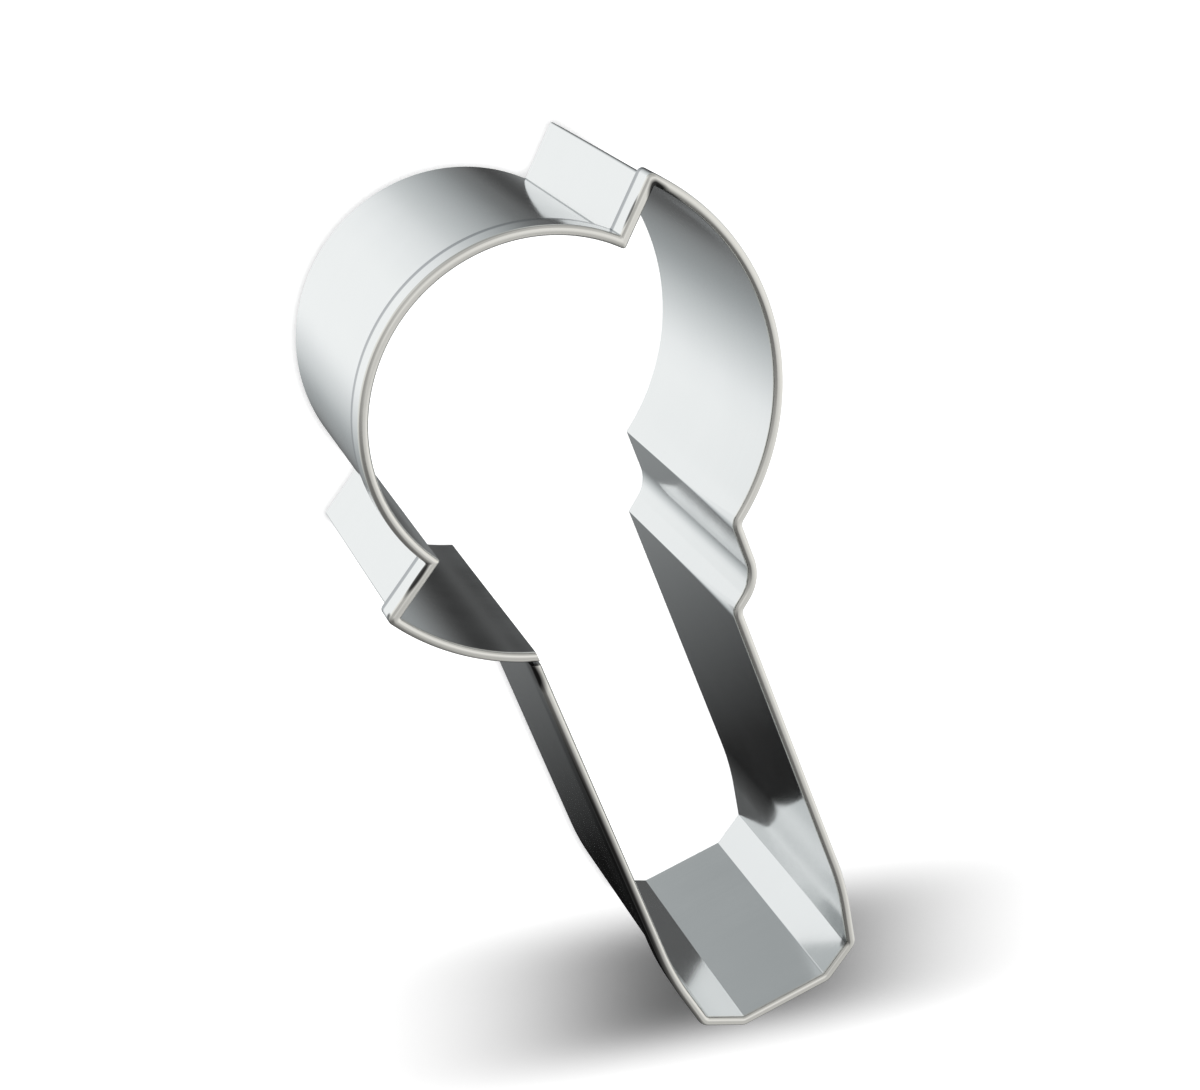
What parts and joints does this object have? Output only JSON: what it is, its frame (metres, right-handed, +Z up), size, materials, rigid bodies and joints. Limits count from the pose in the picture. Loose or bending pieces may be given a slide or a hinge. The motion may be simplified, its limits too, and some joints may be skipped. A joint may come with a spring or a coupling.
{
  "type": "cookie cutter",
  "caption": "Hand-held cookie cutter: a thin steel strip on edge, bent to a round-headed microphone outline, with a folded rim above and a plain cutting edge below.",
  "frame": {"origin": "under the middle of the outline's extent, on the plane of the cutting edge", "axes": "+Z up from the cutting edge to the folded rim, +Y along the handle towards the head, +X to the collar's side"},
  "size_m": [0.0354, 0.0716, 0.025],
  "materials": {
    "polished_steel": "polished",
    "weld_steel": "as welded"
  },
  "bodies": {
    "root": {"cutter_band": "polished_steel", "spot_weld_1": "weld_steel", "spot_weld_2": "weld_steel", "spot_weld_3": "weld_steel"}
  },
  "joints": []
}
